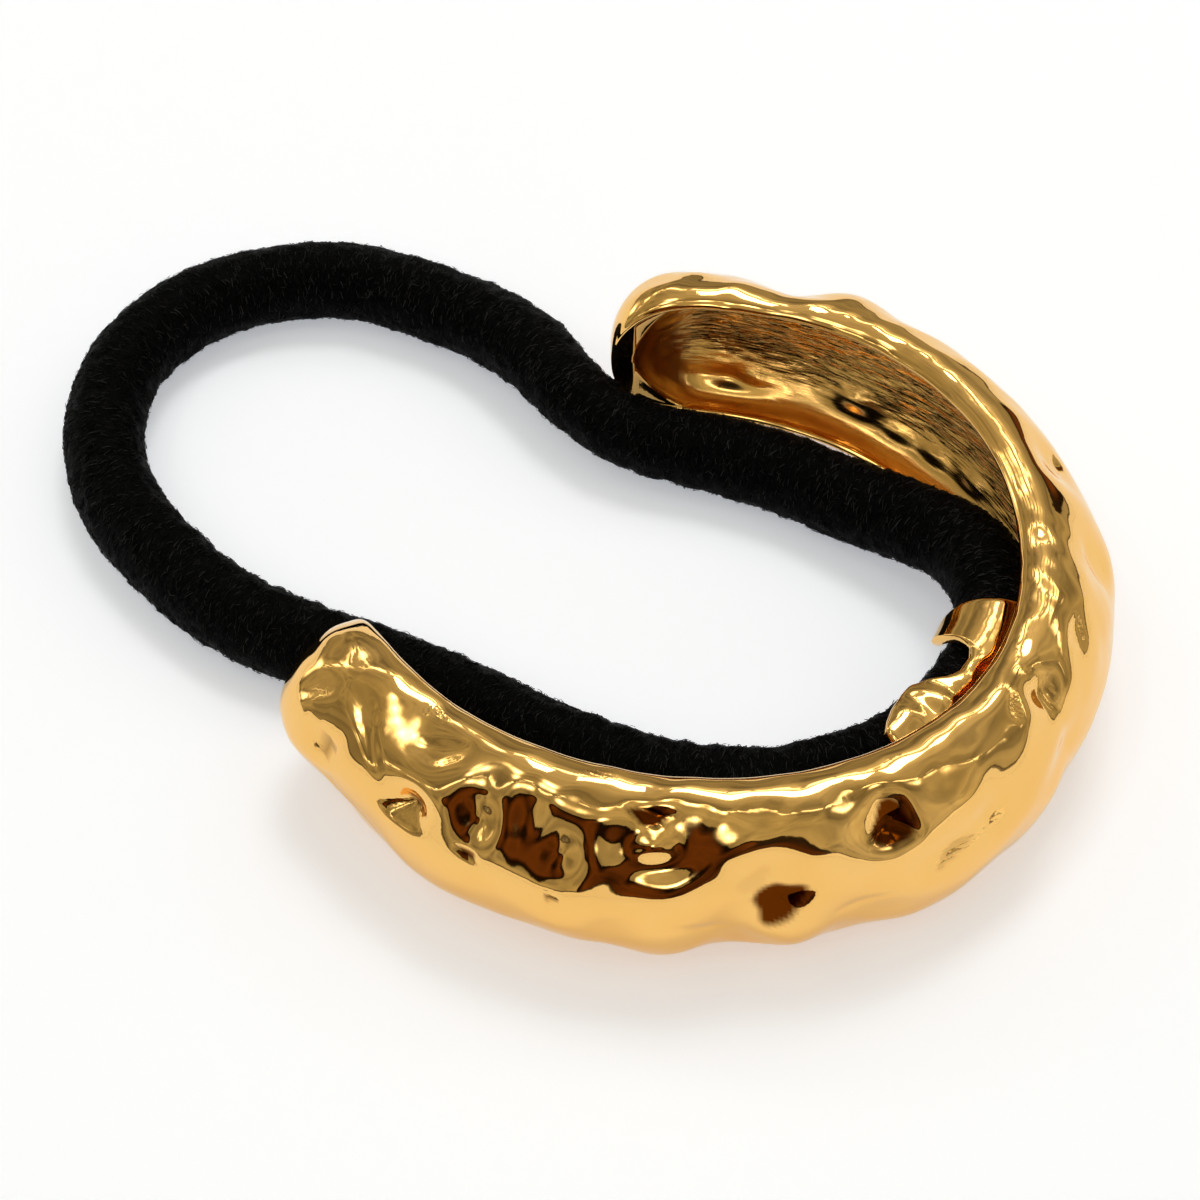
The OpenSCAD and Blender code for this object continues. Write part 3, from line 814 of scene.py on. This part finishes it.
# %% Trees for the elastic
def new_tree(name, inputs):
    """A Geometry Nodes tree with named inputs; returns it and a wire for each input."""
    tree = bpy.data.node_groups.new(name, "GeometryNodeTree")
    tree.interface.new_socket("Geometry", in_out="INPUT", socket_type="NodeSocketGeometry")
    tree.interface.new_socket("Geometry", in_out="OUTPUT", socket_type="NodeSocketGeometry")
    for label, kind in inputs.items():
        tree.interface.new_socket(label, in_out="INPUT", socket_type=kind)
    entry = tree.nodes.new("NodeGroupInput")
    wires = {socket.name: Wire(tree, socket) for socket in entry.outputs if socket.name}
    return tree, wires


def finish_tree(tree, wire):
    """Sends a wire to the tree's output."""
    leave = tree.nodes.new("NodeGroupOutput")
    tree.links.new(wire.socket, leave.inputs["Geometry"])


def grown(source, tree, name, values):
    """Runs a tree on an object and returns the result as a plain mesh piece."""
    modifier = source.modifiers.new(tree.name, "NODES")
    modifier.node_group = tree
    for item in tree.interface.items_tree:
        if item.in_out == "INPUT" and item.name in values:
            modifier[item.identifier] = values[item.name]
    depsgraph = bpy.context.evaluated_depsgraph_get()
    mesh = bpy.data.meshes.new_from_object(source.evaluated_get(depsgraph))
    source.modifiers.remove(modifier)
    mesh.name = name
    piece = bpy.data.objects.new(name, mesh)
    bpy.context.scene.collection.objects.link(piece)
    return piece


NUMBER, WHOLE, STUFF = "NodeSocketFloat", "NodeSocketInt", "NodeSocketMaterial"
sweep, at = new_tree("sweep_elastic", {"Radius": NUMBER, "Sides": WHOLE, "Material": STUFF})
wire = Wire(sweep)
ring = wire.make("GeometryNodeCurvePrimitiveCircle", {}, {
    "Resolution": at["Sides"], "Radius": at["Radius"]})
spot = wire.make("GeometryNodeInputPosition")
ring = wire.make("GeometryNodeStoreNamedAttribute", {"data_type": "FLOAT_VECTOR"},
                 {"Geometry": ring, "Name": "ring_place", "Value": spot})
run = wire.make("GeometryNodeSplineParameter", out="Length")
line = wire.make("GeometryNodeStoreNamedAttribute", {"data_type": "FLOAT"},
                 {"Geometry": at["Geometry"], "Name": "lengthwise", "Value": run})
heading = wire.make("GeometryNodeInputTangent")
line = wire.make("GeometryNodeStoreNamedAttribute", {"data_type": "FLOAT_VECTOR"},
                 {"Geometry": line, "Name": "heading", "Value": heading})
thickness = wire.make("GeometryNodeInputRadius")
tube = wire.make("GeometryNodeCurveToMesh", {}, {"Curve": line, "Profile Curve": ring, "Scale": thickness})
lumpy = wire.make("ShaderNodeTexNoise", {}, {"Vector": spot, "Scale": 900, "Detail": 1}) - 0.5
swell_depth = 0.55 * mm
swell = wire.make("ShaderNodeVectorMath", {"operation": "SCALE"}, {
    0: wire.make("GeometryNodeInputNormal"), "Scale": lumpy * swell_depth})
tube = wire.make("GeometryNodeSetPosition", {}, {"Geometry": tube, "Offset": swell})
finish_tree(sweep, wire.make("GeometryNodeSetMaterial", {}, {
    "Geometry": tube, "Material": at["Material"]}))

scatter, at = new_tree("scatter_fibres", {
    "Fibres per m2": NUMBER, "Length": NUMBER, "Thickness": NUMBER, "Bend": NUMBER,
    "Slant": NUMBER, "Lift": NUMBER, "Rise": NUMBER, "Seed": WHOLE, "Material": STUFF})
wire = Wire(scatter)
spots = wire.make("GeometryNodeDistributePointsOnFaces", {},
                  {"Mesh": at["Geometry"], "Density": at["Fibres per m2"], "Seed": at["Seed"]})
normal = Wire(scatter, spots.socket.node.outputs["Normal"])
heading = wire.make("GeometryNodeInputNamedAttribute", {"data_type": "FLOAT_VECTOR"}, {"Name": "heading"})
lying = wire.make("FunctionNodeAxesToRotation", {"primary_axis": "Z", "secondary_axis": "Y"},
                  {"Primary Axis": normal, "Secondary Axis": heading})


def chance(low, high, seed):
    """A random number for each fibre."""
    return wire.make("FunctionNodeRandomValue", {"data_type": "FLOAT"},
                     {2: low, 3: high, "Seed": seed}, out=1)


tilt = wire.make("ShaderNodeCombineXYZ", {}, {
    0: 0.0, 1: chance(0 - at["Lift"], at["Lift"], 1), 2: chance(0 - at["Slant"], at["Slant"], 2)})
tilt = wire.make("FunctionNodeEulerToRotation", {}, {0: tilt})
turned = wire.make("FunctionNodeRotateRotation", {"rotation_space": "LOCAL"}, {0: lying, 1: tilt})
half = at["Length"] * 0.5
start = wire.make("ShaderNodeCombineXYZ", {}, {0: 0 - half, 1: 0.0, 2: at["Rise"] - at["Bend"]})
middle = wire.make("ShaderNodeCombineXYZ", {}, {0: 0.0, 1: 0.0, 2: at["Rise"] + at["Bend"]})
end = wire.make("ShaderNodeCombineXYZ", {}, {0: half, 1: 0.0, 2: at["Rise"] - at["Bend"]})
thread = wire.make("GeometryNodeCurveQuadraticBezier", {},
                   {"Resolution": 3, "Start": start, "Middle": middle, "End": end})
profile = wire.make("GeometryNodeCurvePrimitiveCircle", {}, {"Resolution": 3, "Radius": at["Thickness"]})
thread = wire.make("GeometryNodeCurveToMesh", {}, {
    "Curve": thread, "Profile Curve": profile, "Fill Caps": True})
size = chance(0.6, 1.3, 3)
fibres = wire.make("GeometryNodeInstanceOnPoints", {}, {
    "Points": spots, "Instance": thread, "Rotation": turned, "Scale": size})
# a random share for each fibre, which the yarn's shader turns into a painted glint
fibres = wire.make("GeometryNodeStoreNamedAttribute", {"data_type": "FLOAT", "domain": "INSTANCE"},
                   {"Geometry": fibres, "Name": "paleness", "Value": chance(0.0, 1.0, 4)})
fibres = wire.make("GeometryNodeRealizeInstances", {}, {"Geometry": fibres})
finish_tree(scatter, wire.make("GeometryNodeSetMaterial", {}, {
    "Geometry": fibres, "Material": at["Material"]}))
print("trees:", [(tree.name, len(tree.nodes)) for tree in (sweep, scatter)])

# %% [markdown]
# Now the trees run. The path becomes a closed curve whose radius is thinner where the elastic is
# pinched, and each result is taken as a plain mesh, so nothing is left to be worked out later.

# %% Grow the elastic
centreline = bpy.data.curves.new("elastic_line", "CURVE")
centreline.dimensions = "3D"
spline = centreline.splines.new("POLY")
spline.points.add(len(path) - 1)
spline.points.foreach_set("co", np.column_stack([path[:, :3], np.ones(len(path))]).ravel())
spline.points.foreach_set("radius", path[:, 3])
spline.use_cyclic_u = True
guide = bpy.data.objects.new("elastic_line", centreline)
bpy.context.scene.collection.objects.link(guide)

under_nap = 0.06 * mm
elastic = grown(guide, sweep, "elastic_core", {
    "Radius": elastic_r - under_nap, "Sides": 48, "Material": yarn})
elastic.data.shade_smooth()
fibres_per_m2 = 3.2e6
nap_values = {"Fibres per m2": fibres_per_m2, "Length": 0.55 * mm, "Thickness": 0.024 * mm,
              "Bend": 0.06 * mm, "Slant": 0.55, "Lift": 0.35, "Rise": 0.03 * mm, "Material": yarn}
nap = grown(elastic, scatter, "elastic_nap", nap_values | {"Seed": 7})
top_nap = grown(elastic, scatter, "elastic_top_nap", nap_values | {"Rise": 0.07 * mm, "Seed": 8})
fuzz = grown(elastic, scatter, "elastic_fuzz", {
    "Fibres per m2": fibres_per_m2, "Length": 0.45 * mm, "Thickness": 0.017 * mm, "Bend": 0.14 * mm,
    "Slant": 1.5, "Lift": 0.9, "Rise": 0.08 * mm, "Seed": 21, "Material": yarn})
bpy.data.objects.remove(guide)
for piece in (elastic, nap, top_nap, fuzz):
    piece.data.calc_loop_triangles()
    print("%s: %d triangles" % (piece.name, len(piece.data.loop_triangles)))

# %% [markdown]
# Now the pieces go onto the frame's root, and the frame's own parts that they stand for are
# hidden. The shell and its keeper are one casting, so they are joined. The elastic is a cord that
# goes back into the keeper it came from.

# %% Pieces on the frame
with bpy.context.temp_override(active_object=shell, selected_editable_objects=[shell, keeper]):
    bpy.ops.object.join()
shell.name = "casting"
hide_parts("cuff")
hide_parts("elastic")
for piece, slot in ((shell, "gold_plate"), (elastic, "covered_elastic"),
                    (nap, "covered_elastic"), (top_nap, "covered_elastic"), (fuzz, "covered_elastic")):
    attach(piece, "root")
print("on the frame:", [piece.name for piece in (shell, elastic, nap, top_nap, fuzz)])

# %% [markdown]
# A mirror shows the studio more than itself. The table is a sheet of white acrylic, lit from
# above and a little from below, which gives the peach parts and leaves the shadows faint. The
# room round it is a light tent. The folds of its walls give the olive parts, its soft lamps the
# highlights, its lower hem the thin lines, and the openings round the camera the brown drops,
# together with the dark reflection that is painted into the pits.

# %% Studio table and lamp
floor_half = 0.9
corners = np.array([[-1, -1, 0], [1, -1, 0], [1, 1, 0], [-1, 1, 0]]) * floor_half
floor_mesh = bpy.data.meshes.new("floor")
floor_mesh.from_pydata(corners.tolist(), [], [(0, 1, 2, 3)])
floor = bpy.data.objects.new("floor", floor_mesh)
bpy.context.scene.collection.objects.link(floor)
acrylic, shader, wire = new_material("white_acrylic")
shader.inputs["Base Color"].default_value = (0.84, 0.85, 0.90, 1)
shader.inputs["Roughness"].default_value = 0.9
shader.inputs["Specular IOR Level"].default_value = 0.1
shader.inputs["Emission Strength"].default_value = 0.39
# the glow from below that the gold gets, and the one that the camera sees
glow_given = (0.76, 0.80, 0.84, 1)
glow_seen = (0.94, 0.985, 1.06, 1)
direct = wire.make("ShaderNodeLightPath", out="Is Camera Ray")
glow = wire.make("ShaderNodeMix", {"data_type": "RGBA"}, {
    "Factor": direct, "A": glow_given, "B": glow_seen}, out=2)
feed(acrylic.node_tree, glow, shader.inputs["Emission Color"])
floor_mesh.materials.append(acrylic)
print("floor: %.1f m square" % (2 * floor_half))


def softbox(name, azimuth, elevation, distance, width, height, radiance):
    """A soft rectangular lamp that faces the cuff; azimuth counts from the camera's own."""
    lamp = bpy.data.lights.new(name, "AREA")
    lamp.shape = "RECTANGLE"
    lamp.size, lamp.size_y = width, height
    lamp.energy = radiance * math.pi * width * height
    light = bpy.data.objects.new(name, lamp)
    bpy.context.scene.collection.objects.link(light)
    towards = way(camera_azimuth + azimuth, elevation)
    light.location = Vector((0, 0, mid_z)) + towards * distance
    light.rotation_mode = "QUATERNION"
    light.rotation_quaternion = towards.to_track_quat("Z", "Y")


softbox("key", azimuth=168, elevation=66, distance=0.9, width=0.34, height=0.26, radiance=6)

# %% [markdown]
# The tent is the world's own shader: a colour for each direction, with patches for lamps and
# openings. Cards and lamps of real size would do the same, but a patch is three numbers, and the
# gold mirrors it just as well. The camera itself sees plain white, so the table has no horizon.

# %% Studio tent
world = bpy.data.worlds.new("studio")
bpy.context.scene.world = world
world.use_nodes = True
room = Wire(world.node_tree)
around = room.make("ShaderNodeTexCoord", out="Generated")
upward = room.make("ShaderNodeSeparateXYZ", {}, {0: around}, out=2)


def patch(azimuth, elevation, half_width):
    """A round patch of the room: 1 in its middle and 0.5 at half_width degrees from it."""
    middle = way(camera_azimuth + azimuth, elevation)
    facing = room.make("ShaderNodeVectorMath", {"operation": "DOT_PRODUCT"},
                       {0: around, 1: middle}, out="Value")
    sharpness = math.log(2) / (1 - math.cos(math.radians(half_width)))
    return room.maths("EXPONENT", (facing - 1.0) * sharpness, 0.0)


def stripe(wire, middle, half_width):
    """1 where the wire is within half_width of the middle, 0 elsewhere."""
    return room.make("ShaderNodeMath", {"operation": "COMPARE"}, {0: wire, 1: middle, 2: half_width})


tube_ends = (0.30, 0.62)


def tube(azimuth, elevation, half_width):
    """A long straight lamp whose highest point is at this azimuth and elevation."""
    across = way(camera_azimuth + azimuth, elevation - 90)
    off = room.make("ShaderNodeVectorMath", {"operation": "DOT_PRODUCT"},
                    {0: around, 1: across}, out="Value")
    off = off * (1 / math.sin(math.radians(half_width)))
    ends = room.make("ShaderNodeMapRange", {"interpolation_type": "SMOOTHSTEP"},
                     {0: upward, 1: tube_ends[0], 2: tube_ends[1]})
    return room.maths("EXPONENT", 0.0 - off * off, 0.0) * ends


# azimuth from the camera's own, elevation and half width in degrees, then the radiance
glows = [
    [165, 62, 20, 0.4], [50, 16, 16, 0.25], [-124, 12, 4, 4], [-89, 67, 3, 6], [-70, 61, 3, 5],
    [-24, 66, 2.5, 5], [-13, 41, 2.2, 7], [-40, 50, 3, 5], [62, 50, 3, 4]]
tubes = [[8, 72, 1.8, 2.6], [176, 50, 2.6, 4.0]]
gaps = [
    [-14, 12, 11, 1.2], [-23, 32, 8, 1.2], [-42, 31, 6, 1.2], [4, 25, 7, 1.2], [14, 4, 11, 1.2],
    [145, 12, 7, 1.2]]
# noise breaks the long lamps up into short ones
off_under = 0.42
on_over = 0.56
lamps = room.make("ShaderNodeTexNoise", {}, {"Vector": around, "Scale": 11.0, "Detail": 1})
lamps = room.make("ShaderNodeMapRange", {"interpolation_type": "SMOOTHSTEP"},
                  {0: lamps, 1: off_under, 2: on_over})
long_lamps = sum(tube(*row[:3]) * row[3] for row in tubes)
light = sum(patch(*row[:3]) * row[3] for row in glows) + lamps * long_lamps
dark = sum(patch(*row[:3]) * row[3] for row in gaps)
tent = (0.40, 0.375, 0.275, 1)
opening_edge = (0.010, 0.006, 0.003, 1)
opening = (0.014, 0.006, 0.002, 1)
opening_heart = (0.12, 0.042, 0.010, 1)
walls = room.make("ShaderNodeValToRGB", {"stops": [
    (0.0, tent), (0.44, tent), (0.50, opening_edge), (0.66, opening), (0.95, opening_heart)]}, {0: dark})
folds = room.make("ShaderNodeTexNoise", {}, {
    "Vector": around, "Scale": 3.0, "Detail": 2, "Distortion": 0.6})
fold_contrast = 2.2
fold_shade = 0.28
walls = room.make("ShaderNodeVectorMath", {"operation": "SCALE"}, {
    0: walls, "Scale": folds * fold_contrast - fold_shade})
# under the hem of the tent the room is white
low_wall = 0.10
hem_half_width = 0.016
hem_strength = 0.85
white_wall = (0.86, 0.86, 0.84, 1)
hem_brown = (0.03, 0.02, 0.01, 1)
hem = stripe(upward, low_wall, hem_half_width) * hem_strength
walls = room.make("ShaderNodeMix", {"data_type": "RGBA"}, {
    "Factor": room.maths("LESS_THAN", upward, low_wall), "A": walls, "B": white_wall}, out=2)
walls = room.make("ShaderNodeMix", {"data_type": "RGBA"}, {
    "Factor": hem, "A": walls, "B": hem_brown}, out=2)
warm = (1, 0.98, 0.94)
lit = room.make("ShaderNodeVectorMath", {"operation": "MULTIPLY_ADD"}, {0: light, 1: warm, 2: walls})
plain_white = (0.95, 0.95, 0.95, 1)
seen = room.make("ShaderNodeLightPath", out="Is Camera Ray")
lit = room.make("ShaderNodeMix", {"data_type": "RGBA"}, {
    "Factor": seen, "A": lit, "B": plain_white}, out=2)
feed(world.node_tree, lit, world.node_tree.nodes["Background"].inputs["Color"])
print("studio: %d lamp, %d glows" % (len(bpy.data.lights), len(glows)))
